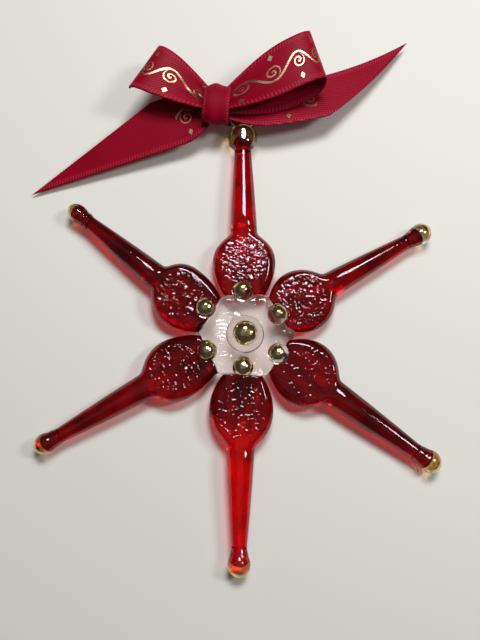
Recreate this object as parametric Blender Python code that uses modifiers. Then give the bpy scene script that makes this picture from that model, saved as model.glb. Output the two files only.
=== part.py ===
"""A star ornament of fused glass with a ribbon bow, lying on its back.

Six red glass points stand round a clear glass hub. Each point is one rod whose inner end was
pressed into a round paddle, and a clear bead closes its outer end. Clear dots sit over the joints
of hub and points, and a stepped dome sits on the middle of the hub. The top point carries a glass
loop, and a satin ribbon is tied through it in a bow.

The origin is the middle of the hub's flat underside. +Y runs towards the hanging loop, and +Z
points away from the surface that the ornament lies on.
"""

import math
from collections import namedtuple

import bmesh
import bpy
import numpy as np
from mathutils import Matrix, Vector

MM = 0.001

# Fits
GAP = 0.3 * MM                       # seam between two pieces of glass that touch
NECK_CLEARANCE = 0.35 * MM           # side of a neck to the line midway to the next point
PADDLE_CLEARANCE = 1.5 * MM          # side of a paddle to the line midway to the next point

# Red points
ROD_LENGTH = 33.0 * MM               # from the paddle's middle to the waist before the bead
ROD_RADIUS = 3.4 * MM                # where the rod leaves the paddle
WAIST_RADIUS = 1.85 * MM
ROD_TAPER_POWER = 1.25               # 1 is a straight taper, more keeps the rod full for longer
PADDLE_HALF_WIDTH = 8.0 * MM
PADDLE_SHOULDER = 8.25 * MM          # from the paddle's middle out to the rod
PADDLE_STAND_OFF = 1.2 * MM          # how much further out a paddle stands than it has to
PADDLE_THICKNESS = 5.4 * MM
PADDLE_SQUARENESS = 4.0              # 2 is a round section, 4 a flat one with rolled edges
PRESS_DEPTH = 0.35 * MM              # print of the press in the paddle's upper face
NECK_HALF_WIDTH = 5.3 * MM           # where the paddle meets the hub
SECTION_SIDES = 16

# Each point was made by hand and differs a little. First the direction in degrees in which its root
# leaves the hub, and the direction of its rod. The rest are its shares of the sizes above: stand
# off, the paddle's half width and shoulder, the rod's radius, its waist and its length.
Point = namedtuple("Point", "root rod stand_off half_width shoulder rod_radius waist length")
POINTS = {
    "top": Point(90.6, 90.6, 1.17, 0.988, 0.982, 1.03, 1.162, 0.927),
    "upper_right": Point(31.6, 29.6, 0.08, 0.975, 0.97, 0.97, 0.946, 0.988),
    "lower_right": Point(-31.8, -35.7, 0.92, 1.05, 1.006, 1.03, 1.027, 1.039),
    "bottom": Point(-93.1, -90.8, 1.75, 0.988, 1.079, 1.03, 0.973, 1.048),
    "lower_left": Point(-153.9, -150.2, 1.58, 0.975, 1.03, 1.0, 0.973, 1.039),
    "upper_left": Point(148.7, 140.9, 0.67, 1.025, 0.933, 1.0, 0.946, 0.97),
}

# Beads at the free tips
TIP_RADIUS = 2.85 * MM
TIP_FLARE = 2.9 * MM                 # from the waist out to the widest place
TIP_END = 3.0 * MM                   # from the widest place to the end

# Clear hub
HUB_THICKNESS = 6.5 * MM
HUB_LUMP = 1.7 * MM                  # how far the hub stands out between two points
HUB_EDGE = 1.1 * MM

# Stepped dome on the hub
DOME_RADIUS = 4.75 * MM
DOME_STEP_HEIGHT = 2.2 * MM
CAP_RADIUS = 3.35 * MM
CAP_HEIGHT = 2.9 * MM

# Dots over the joints: how far outwards from the joint each was set down, in radii of a dot, and
# how far along the joint, in degrees
DOT_RADIUS = 2.65 * MM
DOT_RAISE = 1.4 * MM                 # middle of the dot above its seat
DOTS = {
    "top": (0.15, 2.4),
    "upper_right": (-0.34, -1.1),
    "lower_right": (-0.3, 0.6),
    "bottom": (-0.79, -0.6),
    "lower_left": (0.04, -1.9),
    "upper_left": (0.53, -2.1),
}

# Hanging loop: a bead on the top rod's end that runs out into an eye
LOOP_BEAD_RADIUS = 3.5 * MM
LOOP_BEAD_FLARE = 4.0 * MM
LOOP_BEAD_END = 3.3 * MM
EYE_RADIUS = 2.6 * MM                # to the middle of the eye's glass
EYE_WIRE_RADIUS = 1.2 * MM

# Ribbon. The solid is thicker than the cloth, so that it has a body.
RIBBON_WIDTH = 13.0 * MM
RIBBON_SOLID = 1.0 * MM
TIE_RADIUS = 0.7 * MM                # ribbon gathered into a cord, through the eye
TIE_CLEARANCE = 0.3 * MM
KNOT_SIZE = Vector((6.8, 10.5, 7.0)) * MM
KNOT_ROUND = 2.3 * MM
KNOT_SLANT = -6.0                    # degrees, turned from the X and Y directions
KNOT_FROM_EYE = Vector((-6.6, 0.9)) * MM
GATHER = 0.3                         # share of the ribbon's width inside the knot

# Loops of the bow. Each has the heading of its fold in degrees, its shares of the reach, the rise
# and the half height, and the direction of the ribbon's width at the knot and at the fold.
LOOP_REACH = 28.3 * MM               # from the knot to the fold
LOOP_RISE = 3.0 * MM                 # of the fold over the knot
LOOP_HALF_HEIGHT = 3.3 * MM          # between its layers
LOOP_WIDENING = 20.0 * MM            # distance from the knot in which a loop reaches full width
BOW_LOOPS = {
    "right": (24.0, 1.0, 1.0, 1.0, 90.0, 108.0),
    "left": (155.0, 0.72, 0.8, 0.88, 80.0, 56.0),
}

# Tails of the bow. Each has its direction at the knot and at its end in degrees, its shares of the
# length for the selvages towards -Y and +Y, its shares of the widening and of the drop, and its
# tilt in degrees, positive with the +Y side up.
TAIL_LENGTH = 54.3 * MM
TAIL_WIDENING = 16.0 * MM            # distance from the knot in which a tail reaches full width
TAIL_DROP = 5.0 * MM                 # of a tail's end below the knot
BOW_TAILS = {
    "right": (-0.5, 15.2, 0.525, 1.0, 1.0, 0.6, -16.0),
    "left": (197.0, 197.0, 0.972, 0.295, 0.69, 1.0, 9.0),
}
TAIL_ROOT_DROP = 1.5 * MM            # tails leave the knot this far below its middle


def crowding(name):
    """Tangent of half the angle from a point's root to the nearest root beside it."""
    angles = [abs((other.root - POINTS[name].root + 180) % 360 - 180)
              for other_name, other in POINTS.items() if other_name != name]
    return math.tan(math.radians(min(angles) / 2))


# What follows from the sizes above
AXIS_HEIGHT = max([ROD_RADIUS * point.rod_radius for point in POINTS.values()]
                  + [PADDLE_THICKNESS / 2])
JOINT_RADIUS = (NECK_HALF_WIDTH + NECK_CLEARANCE) / min(crowding(name) for name in POINTS)
UPPER_FACE = max(HUB_THICKNESS, AXIS_HEIGHT + PADDLE_THICKNESS / 2)


def direction(degrees):
    """Unit vector in the ornament's plane."""
    angle = math.radians(degrees)
    return Vector((math.cos(angle), math.sin(angle), 0.0))


def ease(value):
    """0 to 1 with a soft start and end."""
    value = min(max(value, 0.0), 1.0)
    return value * value * (3 - 2 * value)


def glass_or_cloth(name, colour, roughness, metallic=0.0, transmission=0.0):
    """A plain Principled material."""
    material = bpy.data.materials.new(name)
    material.use_nodes = True
    shader = material.node_tree.nodes["Principled BSDF"]
    shader.inputs["Base Color"].default_value = (*colour, 1.0)
    shader.inputs["Roughness"].default_value = roughness
    shader.inputs["Metallic"].default_value = metallic
    shader.inputs["Transmission Weight"].default_value = transmission
    material.diffuse_color = (*colour, 1.0)
    return material


def clear_scene():
    """Start from an empty scene."""
    for item in list(bpy.data.objects):
        bpy.data.objects.remove(item, do_unlink=True)


def new_collection(name):
    """A collection in the scene."""
    collection = bpy.data.collections.new(name)
    bpy.context.scene.collection.children.link(collection)
    return collection


def place(name, mesh, material, collection):
    """An object of this mesh, shaded smooth but for its sharp edges."""
    item = bpy.data.objects.new(name, mesh)
    mesh.materials.append(material)
    mesh.shade_smooth()
    mesh.set_sharp_from_angle(angle=math.radians(40))
    collection.objects.link(item)
    return item


def as_cutter(item):
    """Mark an object that only shapes others."""
    item.hide_render = True
    item.display_type = "WIRE"
    return item


def combine(item, other, operation):
    """Join or cut one object with another."""
    modifier = item.modifiers.new(other.name, "BOOLEAN")
    modifier.operation = operation
    modifier.solver = "EXACT"
    modifier.object = other


def turned(name, profile, steps, material, collection):
    """A shape turned round its own Z axis from (radius, height) pairs, top to bottom."""
    mesh = bpy.data.meshes.new(name)
    vertices = [(radius, 0.0, height) for radius, height in profile]
    mesh.from_pydata(vertices, [(i, i + 1) for i in range(len(vertices) - 1)], [])
    item = place(name, mesh, material, collection)
    screw = item.modifiers.new("turn", "SCREW")
    screw.axis = "Z"
    screw.steps = steps
    screw.render_steps = steps
    screw.use_merge_vertices = True
    screw.merge_threshold = 0.00001
    return item


def arc(radius, height, start, end, count, middle=(0.0, 0.0)):
    """(radius, height) pairs on an ellipse, from one angle to another in degrees."""
    angles = np.radians(np.linspace(start, end, count))
    return [(max(middle[0] + radius * math.cos(a), 0.0), middle[1] + height * math.sin(a))
            for a in angles]


def rod_radius(point, station):
    """Radius of the rod at a distance from the paddle's middle."""
    shoulder = PADDLE_SHOULDER * point.shoulder
    along = (station - shoulder) / (ROD_LENGTH * point.length - shoulder)
    along = min(max(along, 0.0), 1.0) ** ROD_TAPER_POWER
    return ROD_RADIUS * point.rod_radius * (1 - along) + WAIST_RADIUS * point.waist * along


def half_width(point, neck, station):
    """Half width of a point, seen from above."""
    paddle = PADDLE_HALF_WIDTH * point.half_width
    if station < 0:
        return NECK_HALF_WIDTH + (paddle - NECK_HALF_WIDTH) * (1 - (station / neck) ** 2)
    reach = station / (PADDLE_SHOULDER * point.shoulder)
    paddle *= math.sqrt(max(0.0, 1 - reach ** 2))
    blend = 5
    return (paddle ** blend + rod_radius(point, station) ** blend) ** (1 / blend)


def section_ring(point, neck, station, centre, side):
    """The points round one section of a point."""
    reach = station / (PADDLE_SHOULDER * point.shoulder)
    rise = ease((reach - 0.72) / 0.3)
    width = half_width(point, neck, station)
    thickness = PADDLE_THICKNESS / 2 * (1 - rise) + rod_radius(point, station) * rise
    squareness = PADDLE_SQUARENESS * (1 - rise) + 2 * rise
    inner = ease((station + neck) / neck / 0.45)
    outer = 1 - ease((reach - 0.6) / 0.3)
    print_depth = PRESS_DEPTH * inner * outer
    ring = []
    for i in range(SECTION_SIDES):
        angle = 2 * math.pi * i / SECTION_SIDES
        across = math.copysign(abs(math.cos(angle)) ** (2 / squareness), math.cos(angle))
        up = math.copysign(abs(math.sin(angle)) ** (2 / squareness), math.sin(angle))
        height = thickness * up
        if up > 0:
            height -= print_depth * ease((0.8 - abs(across)) / 0.3)
        ring.append(centre + side * (width * across) + Vector((0, 0, AXIS_HEIGHT + height)))
    return ring


def neck_length(name):
    """From a point's joint with the hub to the middle of its paddle."""
    point = POINTS[name]
    half = PADDLE_HALF_WIDTH * point.half_width + PADDLE_CLEARANCE
    return half / crowding(name) + PADDLE_STAND_OFF * point.stand_off - JOINT_RADIUS


def point_path(name):
    """Stations along a point, each with its place and its heading in degrees."""
    point = POINTS[name]
    turn = (point.rod - point.root + 180) % 360 - 180
    neck = neck_length(name)
    shoulder = PADDLE_SHOULDER * point.shoulder
    stations = np.concatenate([
        np.linspace(-neck, 0, 6),
        np.linspace(0, shoulder * 1.15, 9)[1:],
        np.linspace(shoulder * 1.15, ROD_LENGTH * point.length, 7)[1:],
    ])
    place_now = direction(point.root) * JOINT_RADIUS
    path = []
    last = stations[0]
    for station in stations:
        heading = point.root + turn * ease(station / shoulder + 0.5)
        place_now = place_now + direction(heading) * (station - last)
        last = station
        path.append((station, place_now, heading))
    return path


def loft(name, rings):
    """A closed mesh through rings of points, with flat ends."""
    mesh = bpy.data.meshes.new(name)
    shape = bmesh.new()
    loops = [[shape.verts.new(point) for point in ring] for ring in rings]
    for first, second in zip(loops, loops[1:]):
        for i in range(len(first)):
            j = (i + 1) % len(first)
            shape.faces.new((first[i], second[i], second[j], first[j]))
    shape.faces.new(loops[0])
    shape.faces.new(reversed(loops[-1]))
    bmesh.ops.recalc_face_normals(shape, faces=shape.faces)
    shape.to_mesh(mesh)
    shape.free()
    return mesh


def red_point(name, material, collection):
    """One point: neck, pressed paddle and tapering rod, in one piece of glass."""
    neck = neck_length(name)
    rings = [section_ring(POINTS[name], neck, station, centre, direction(heading + 90))
             for station, centre, heading in point_path(name)]
    return place("point_" + name, loft("point_" + name, rings), material, collection)


def lay_along(item, name):
    """Put a turned bead on the end of a point, with its axis along the rod."""
    station, end, heading = point_path(name)[-1]
    item.location = end + direction(heading) * GAP + Vector((0, 0, AXIS_HEIGHT))
    item.rotation_euler = (0.0, math.radians(90), math.radians(heading))


def bead_profile(waist, radius, flare, end):
    """A drop that starts at the rod's waist, swells and closes round."""
    swell = [(waist + (radius - waist) * ease(share), flare * share)
             for share in np.linspace(1, 0, 5)]
    return arc(radius, end, 90, 0, 6, (0.0, flare))[:-1] + swell + [(0.0, 0.0)]


def tip_bead(name, material, collection):
    """The clear bead on the end of a free point."""
    waist = WAIST_RADIUS * POINTS[name].waist
    profile = bead_profile(waist, TIP_RADIUS, TIP_FLARE, TIP_END)
    item = turned("tip_" + name, profile, 14, material, collection)
    lay_along(item, name)


def clear_hub(material, parts, cutters):
    """A thick disc with a flat for the neck of each point."""
    radius = JOINT_RADIUS - GAP + HUB_LUMP
    profile = [(0.0, HUB_THICKNESS)]
    profile += arc(HUB_EDGE, HUB_EDGE, 90, 0, 4, (radius - HUB_EDGE, HUB_THICKNESS - HUB_EDGE))
    profile += arc(HUB_EDGE, HUB_EDGE, 0, -90, 4, (radius - HUB_EDGE, HUB_EDGE))
    profile += [(0.0, 0.0)]
    hub = turned("hub", profile, 36, material, parts)
    block = 4 * HUB_LUMP
    for name, point in POINTS.items():
        bpy.ops.mesh.primitive_cube_add(size=1.0)
        flat = bpy.context.active_object
        flat.name = "flat_for_" + name
        flat.data.transform(Matrix.Diagonal((block, 2 * radius, 3 * HUB_THICKNESS, 1.0)))
        flat.location = direction(point.root) * (JOINT_RADIUS - GAP + block / 2)
        flat.rotation_euler = (0.0, 0.0, math.radians(point.root))
        for collection in list(flat.users_collection):
            collection.objects.unlink(flat)
        cutters.objects.link(as_cutter(flat))
        combine(hub, flat, "DIFFERENCE")


def centre_dome(material, collection):
    """A low clear dome with a smaller cap melted on it."""
    profile = arc(CAP_RADIUS, CAP_HEIGHT, 90, 0, 7, (0.0, DOME_STEP_HEIGHT))
    profile += arc(DOME_RADIUS - CAP_RADIUS, DOME_STEP_HEIGHT, 80, 0, 5, (CAP_RADIUS, 0.0))
    profile += [(0.0, 0.0)]
    item = turned("centre_dome", profile, 24, material, collection)
    item.location = (0.0, 0.0, HUB_THICKNESS + GAP)


def dot(name, material, collection):
    """A small dot over the joint of the hub and one point."""
    outwards, sideways = DOTS[name]
    profile = arc(DOT_RADIUS, DOT_RADIUS, 90,
                  -math.degrees(math.asin(DOT_RAISE / DOT_RADIUS)), 8, (0.0, DOT_RAISE))
    item = turned("dot_" + name, profile + [(0.0, 0.0)], 12, material, collection)
    distance = max(JOINT_RADIUS + DOT_RADIUS * outwards, DOME_RADIUS + GAP + DOT_RADIUS)
    item.location = direction(POINTS[name].root + sideways) * distance
    item.location.z = UPPER_FACE + GAP


def eye_centre():
    """The middle of the hanging loop's eye."""
    station, end, heading = point_path("top")[-1]
    bead = GAP + LOOP_BEAD_FLARE + LOOP_BEAD_END
    reach = bead + EYE_RADIUS - EYE_WIRE_RADIUS * 0.8
    return end + direction(heading) * reach + Vector((0, 0, AXIS_HEIGHT))


def hanging_loop(material, parts, cutters):
    """The clear bead on the top point, drawn out into an eye for the ribbon."""
    bpy.ops.mesh.primitive_torus_add(major_radius=EYE_RADIUS, minor_radius=EYE_WIRE_RADIUS,
                                     major_segments=24, minor_segments=10)
    ring = bpy.context.active_object
    for collection in list(ring.users_collection):
        collection.objects.unlink(ring)
    eye = place("hanging_loop", ring.data, material, parts)
    bpy.data.objects.remove(ring)
    eye.location = eye_centre()
    waist = WAIST_RADIUS * POINTS["top"].waist
    profile = bead_profile(waist, LOOP_BEAD_RADIUS, LOOP_BEAD_FLARE, LOOP_BEAD_END)
    bead = as_cutter(turned("loop_bead", profile, 18, material, cutters))
    lay_along(bead, "top")
    combine(eye, bead, "UNION")


def sheet(name, point_at, lengthwise, across, material, cutters):
    """A strip of ribbon: point_at(u, v), u from 0 to 1 along it and v from -1 to 1 across."""
    mesh = bpy.data.meshes.new(name)
    grid = bmesh.new()
    bmesh.ops.create_grid(grid, x_segments=lengthwise, y_segments=across, size=1.0)
    for vertex in grid.verts:
        vertex.co = point_at((vertex.co.x + 1) / 2, vertex.co.y)
    grid.to_mesh(mesh)
    grid.free()
    item = as_cutter(place(name, mesh, material, cutters))
    solid = item.modifiers.new("body", "SOLIDIFY")
    solid.thickness = RIBBON_SOLID
    solid.offset = 0.0
    return item


def gathered_width(distance, widening):
    """Half the ribbon's width at a distance from the knot."""
    share = math.sin(min(distance / widening, 1.0) * math.pi / 2)
    return RIBBON_WIDTH / 2 * (GATHER + (1 - GATHER) * share)


def bow_loop(side, knot, material, cutters):
    """One loop of the bow, from the knot over its fold and back below."""
    heading, *shares, knot_angle, fold_angle = BOW_LOOPS[side]
    reach = LOOP_REACH * shares[0]
    rise = LOOP_RISE * shares[1]
    half_height = LOOP_HALF_HEIGHT * shares[2]

    def point_at(u, v):
        turn = math.pi * (0.02 + 0.96 * u)
        out = math.sin(turn)
        level = math.copysign(abs(math.cos(turn)) ** 0.7, math.cos(turn)) * out
        width = gathered_width(reach * out, LOOP_WIDENING)
        across = direction(knot_angle + (fold_angle - knot_angle) * out)
        height = rise * out + 1.8 * half_height * level
        return knot + direction(heading) * (reach * out) + across * (v * width) \
            + Vector((0, 0, height))

    return sheet("bow_loop_" + side, point_at, 22, 3, material, cutters)


def bow_tail(side, knot, material, cutters):
    """One tail of the bow, cut off at a long slant."""
    start, end, *shares, tilt = BOW_TAILS[side]
    length_minus = TAIL_LENGTH * shares[0]
    length_plus = TAIL_LENGTH * shares[1]
    widening = TAIL_WIDENING * shares[2]
    drop = TAIL_DROP * shares[3]
    longest = max(length_minus, length_plus)
    plus_side = 1 if math.cos(math.radians(start)) > 0 else -1

    def point_at(u, v):
        length = length_minus + (length_plus - length_minus) * (v + 1) / 2
        distance = u * length
        heading = start + (end - start) * distance / longest
        width = gathered_width(distance, widening)
        across = direction(heading + 90 * plus_side)
        lean = math.radians(tilt) * ease(distance / widening)
        height = -TAIL_ROOT_DROP - drop * distance / longest + v * width * math.sin(lean)
        return knot + direction(heading) * distance + across * (v * width * math.cos(lean)) \
            + Vector((0, 0, height))

    return sheet("bow_tail_" + side, point_at, 14, 4, material, cutters)


def ribbon_tie(knot, eye, material, cutters):
    """The gathered ribbon that runs from the knot round the glass of the eye and back."""
    curve = bpy.data.curves.new("tie_path", "CURVE")
    curve.dimensions = "3D"
    curve.bevel_depth = TIE_RADIUS
    curve.bevel_resolution = 2
    curve.use_fill_caps = True
    glass = eye + Vector((-EYE_RADIUS, 0, 0))
    around = EYE_WIRE_RADIUS + TIE_CLEARANCE + TIE_RADIUS
    start = knot + Vector((0, 0, -KNOT_SIZE.z / 4))
    route = [start]
    for angle in np.linspace(100, -120, 9):
        turn = math.radians(angle)
        route.append(glass + Vector((math.cos(turn), 0, math.sin(turn))) * around)
    route.append(knot + Vector((-KNOT_SIZE.x / 6, 0, -KNOT_SIZE.z / 4)))
    spline = curve.splines.new("POLY")
    spline.points.add(len(route) - 1)
    for point, target in zip(spline.points, route):
        point.co = (*target, 1.0)
    path = bpy.data.objects.new("tie_path", curve)
    cutters.objects.link(path)
    bpy.context.view_layer.update()
    evaluated = path.evaluated_get(bpy.context.evaluated_depsgraph_get())
    mesh = bpy.data.meshes.new_from_object(evaluated)
    welded = bmesh.new()
    welded.from_mesh(mesh)
    bmesh.ops.remove_doubles(welded, verts=welded.verts, dist=0.00001)
    bmesh.ops.recalc_face_normals(welded, faces=welded.faces)
    welded.to_mesh(mesh)
    welded.free()
    mesh.materials.clear()
    tie = as_cutter(place("bow_tie", mesh, material, cutters))
    tie.matrix_world = path.matrix_world.copy()
    bpy.data.objects.remove(path)
    return tie


def ribbon_bow(material, parts, cutters):
    """The bow: knot, two loops, two tails and the tie through the eye, in one length."""
    eye = eye_centre()
    knot = Vector((eye.x + KNOT_FROM_EYE.x, eye.y + KNOT_FROM_EYE.y,
                   eye.z + EYE_WIRE_RADIUS + TIE_CLEARANCE + KNOT_SIZE.z / 2))
    bpy.ops.mesh.primitive_cube_add(size=1.0)
    cage = bpy.context.active_object
    for collection in list(cage.users_collection):
        collection.objects.unlink(cage)
    cage.data.transform(Matrix.Rotation(math.radians(KNOT_SLANT), 4, "Z")
                        @ Matrix.Diagonal((*KNOT_SIZE, 1.0)))
    bow = place("ribbon_bow", cage.data, material, parts)
    bpy.data.objects.remove(cage)
    bow.location = knot
    rounding = bow.modifiers.new("round", "BEVEL")
    rounding.width = KNOT_ROUND
    rounding.segments = 3
    pieces = [bow_loop(side, knot, material, cutters) for side in BOW_LOOPS]
    pieces += [bow_tail(side, knot, material, cutters) for side in BOW_TAILS]
    pieces.append(ribbon_tie(knot, eye, material, cutters))
    for piece in pieces:
        combine(bow, piece, "UNION")


def build():
    """Make every piece of the ornament."""
    clear_scene()
    parts = new_collection("star_ornament")
    cutters = new_collection("cutters")
    red = glass_or_cloth("red_glass", (0.45, 0.0, 0.02), 0.03, transmission=1.0)
    clear = glass_or_cloth("clear_glass", (0.95, 0.94, 0.92), 0.03, transmission=1.0)
    gold = glass_or_cloth("gold_lustre_glass", (0.62, 0.52, 0.25), 0.1, metallic=1.0)
    satin = glass_or_cloth("crimson_satin", (0.25, 0.002, 0.02), 0.4)
    clear_hub(clear, parts, cutters)
    for name in POINTS:
        red_point(name, red, parts)
        dot(name, gold, parts)
        if name != "top":
            tip_bead(name, gold, parts)
    centre_dome(gold, parts)
    hanging_loop(gold, parts, cutters)
    ribbon_bow(satin, parts, cutters)


build()
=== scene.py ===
"""A star ornament of fused glass with a satin bow, lying on a pale floor."""

import math
from collections import namedtuple

import bpy
from mathutils import Matrix, Vector, noise


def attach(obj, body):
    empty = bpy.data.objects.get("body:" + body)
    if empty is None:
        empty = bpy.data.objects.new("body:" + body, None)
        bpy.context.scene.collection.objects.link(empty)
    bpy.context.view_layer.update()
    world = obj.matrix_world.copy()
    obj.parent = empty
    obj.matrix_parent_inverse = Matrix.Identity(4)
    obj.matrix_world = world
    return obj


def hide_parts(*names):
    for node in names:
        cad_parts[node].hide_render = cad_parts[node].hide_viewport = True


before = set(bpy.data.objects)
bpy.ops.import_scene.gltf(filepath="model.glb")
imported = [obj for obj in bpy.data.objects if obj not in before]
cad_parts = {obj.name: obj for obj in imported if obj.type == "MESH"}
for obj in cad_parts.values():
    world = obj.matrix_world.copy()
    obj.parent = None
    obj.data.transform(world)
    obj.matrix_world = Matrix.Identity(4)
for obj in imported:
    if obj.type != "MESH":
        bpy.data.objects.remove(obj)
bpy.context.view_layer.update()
MM = 0.001


# Hub
# The middle is a puddle of clear glass, pressed while hot, which left chill rings in its face.
# The points, the dots and the dome are fused to it, and it swelled a little between the points.
HUB_THICKNESS = 6.5 * MM
HUB_REACH = 11.9 * MM
HUB_FLAT = 10.15 * MM                # from the middle to the flat that a point is fused to
HUB_EDGE = 1.5 * MM
HUB_FUSING = 0.26 * MM               # how finely the lumps are fused to it
HUB_SOFTENING = 9                    # rounds of smoothing after that
HUB_RIPPLE = 0.26 * MM               # of the pressed faces
HUB_RIPPLE_SIZE = 3.2 * MM
HUB_UNDERSIDE = 0.25 * MM            # all that lies lower rests flat
REST_GAP = 0.03 * MM                 # from there to the floor
# the swollen lumps between the points: middle and radius, in millimetres
HUB_LUMPS = ((-10.6, 1.6, 4.3, 1.7), (-7.9, -8.0, 4.4, 1.9), (11.0, 0.3, 4.6, 1.6),
             (-9.6, -0.6, 5.0, 1.2))
# directions of the six flats
ROOT_ANGLES = {"top": 90.6, "upper_right": 31.6, "lower_right": -31.8, "bottom": -93.1,
               "lower_left": -153.9, "upper_left": 148.7}


def pick(piece):
    """Select this piece alone and make it the active one."""
    bpy.ops.object.select_all(action="DESELECT")
    piece.select_set(True)
    bpy.context.view_layer.objects.active = piece


def heading(degrees):
    """Unit vector in the ornament's plane."""
    return Vector((math.cos(math.radians(degrees)), math.sin(math.radians(degrees)), 0.0))


def apply_all(piece):
    """Apply every modifier of a piece, first to last."""
    pick(piece)
    for modifier in list(piece.modifiers):
        bpy.ops.object.modifier_apply(modifier=modifier.name)


def melt(piece, voxel, rounds):
    """Fuse the lumps of a piece into one body with soft joints."""
    remesh = piece.modifiers.new("fuse", "REMESH")
    remesh.mode = "VOXEL"
    remesh.voxel_size = voxel
    soften = piece.modifiers.new("soften", "SMOOTH")
    soften.factor = 0.5
    soften.iterations = rounds
    apply_all(piece)


def flatten_where(piece, level, reached):
    """Bring the vertices for which reached is true to one level."""
    pick(piece)
    bpy.ops.object.mode_set(mode="EDIT")
    bpy.ops.mesh.select_mode(type="VERT")
    bpy.ops.mesh.select_all(action="DESELECT")
    bpy.ops.object.mode_set(mode="OBJECT")
    for vertex in piece.data.vertices:
        vertex.select = reached(vertex.co)
    bpy.ops.object.mode_set(mode="EDIT")
    bpy.ops.transform.resize(value=(1, 1, 0), center_override=(0, 0, level))
    bpy.ops.object.mode_set(mode="OBJECT")


def settle(piece, node, slot, *finishes):
    """Leave a finished piece at the origin, in place of its plain solid."""
    pick(piece)
    bpy.ops.object.transform_apply(location=True, rotation=True, scale=True)
    bpy.ops.object.shade_smooth()
    for finish in finishes:
        piece.data.materials.append(finish)
    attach(piece, "root")
    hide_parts(node)


def new_material(name):
    """A Principled material, with its nodes, its links and its shader."""
    material = bpy.data.materials.new(name)
    material.use_nodes = True
    tree = material.node_tree
    return material, tree.nodes, tree.links, tree.nodes["Principled BSDF"]


def glass_surface_group():
    """Waviness of fire-polished glass: a height and a roughness that vary over the surface."""
    group = bpy.data.node_groups.new("glass_surface", "ShaderNodeTree")
    face = group.interface
    face.new_socket("Place", in_out="INPUT", socket_type="NodeSocketVector")
    face.new_socket("Wave Size", in_out="INPUT", socket_type="NodeSocketFloat")
    face.new_socket("Height", in_out="OUTPUT", socket_type="NodeSocketFloat")
    face.new_socket("Roughness", in_out="OUTPUT", socket_type="NodeSocketFloat")
    nodes = group.nodes
    links = group.links
    inside = nodes.new("NodeGroupInput")
    outside = nodes.new("NodeGroupOutput")
    wave = nodes.new("ShaderNodeTexNoise")
    wave.inputs["Detail"].default_value = 2.0
    links.new(inside.outputs["Place"], wave.inputs["Vector"])
    links.new(inside.outputs["Wave Size"], wave.inputs["Scale"])
    haze = nodes.new("ShaderNodeTexNoise")
    haze.inputs["Scale"].default_value = 420.0
    haze.inputs["Detail"].default_value = 4.0
    links.new(inside.outputs["Place"], haze.inputs["Vector"])
    polish = nodes.new("ShaderNodeMapRange")
    polish.inputs["From Min"].default_value = 0.35
    polish.inputs["From Max"].default_value = 0.75
    polish.inputs["To Min"].default_value = 0.01
    polish.inputs["To Max"].default_value = 0.06
    links.new(haze.outputs["Fac"], polish.inputs["Value"])
    links.new(wave.outputs["Fac"], outside.inputs["Height"])
    links.new(polish.outputs["Result"], outside.inputs["Roughness"])
    return group


GLASS_SURFACE = glass_surface_group()


def fire_polish(nodes, links, wave_size):
    """The glass surface laid over a piece: where it lies, its height and its roughness."""
    place = nodes.new("ShaderNodeTexCoord").outputs["Object"]
    surface = nodes.new("ShaderNodeGroup")
    surface.node_tree = GLASS_SURFACE
    surface.inputs["Wave Size"].default_value = wave_size
    links.new(place, surface.inputs["Place"])
    return place, surface.outputs["Height"], surface.outputs["Roughness"]


def let_lamps_through(nodes, links, shader, colour):
    """Light from lamps goes straight through glass, which colours the shadow."""
    path = nodes.new("ShaderNodeLightPath")
    clear = nodes.new("ShaderNodeBsdfTransparent")
    clear.inputs["Color"].default_value = (*colour, 1.0)
    both = nodes.new("ShaderNodeMixShader")
    links.new(path.outputs["Is Shadow Ray"], both.inputs["Fac"])
    links.new(shader.outputs["BSDF"], both.inputs[1])
    links.new(clear.outputs["BSDF"], both.inputs[2])
    links.new(both.outputs["Shader"], nodes["Material Output"].inputs["Surface"])


def bump_from(nodes, links, shader, height, distance):
    """A bump of this depth in metres on the shader."""
    bump = nodes.new("ShaderNodeBump")
    bump.inputs["Distance"].default_value = distance
    links.new(height, bump.inputs["Height"])
    links.new(bump.outputs["Normal"], shader.inputs["Normal"])


def chill_rings(nodes, links, place):
    """Rings that the cold tool left round one spot, as a height."""
    middle = nodes.new("ShaderNodeMapping")
    middle.inputs["Location"].default_value = (0.0058, 0.0020, 0.0)
    links.new(place, middle.inputs["Vector"])
    rings = nodes.new("ShaderNodeTexWave")
    rings.wave_type = "RINGS"
    rings.rings_direction = "Z"
    rings.inputs["Scale"].default_value = 330.0
    rings.inputs["Distortion"].default_value = 1.6
    rings.inputs["Detail Scale"].default_value = 0.6
    links.new(middle.outputs["Vector"], rings.inputs["Vector"])
    reach = nodes.new("ShaderNodeVectorMath")
    reach.operation = "LENGTH"
    links.new(middle.outputs["Vector"], reach.inputs[0])
    fade = nodes.new("ShaderNodeMapRange")
    fade.inputs["From Min"].default_value = 0.0045
    fade.inputs["From Max"].default_value = 0.0100
    fade.inputs["To Min"].default_value = 0.3
    fade.inputs["To Max"].default_value = 0.0
    links.new(reach.outputs["Value"], fade.inputs["Value"])
    ripple = nodes.new("ShaderNodeMath")
    ripple.operation = "MULTIPLY"
    links.new(rings.outputs["Fac"], ripple.inputs[0])
    links.new(fade.outputs["Result"], ripple.inputs[1])
    return ripple.outputs["Value"]


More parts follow.
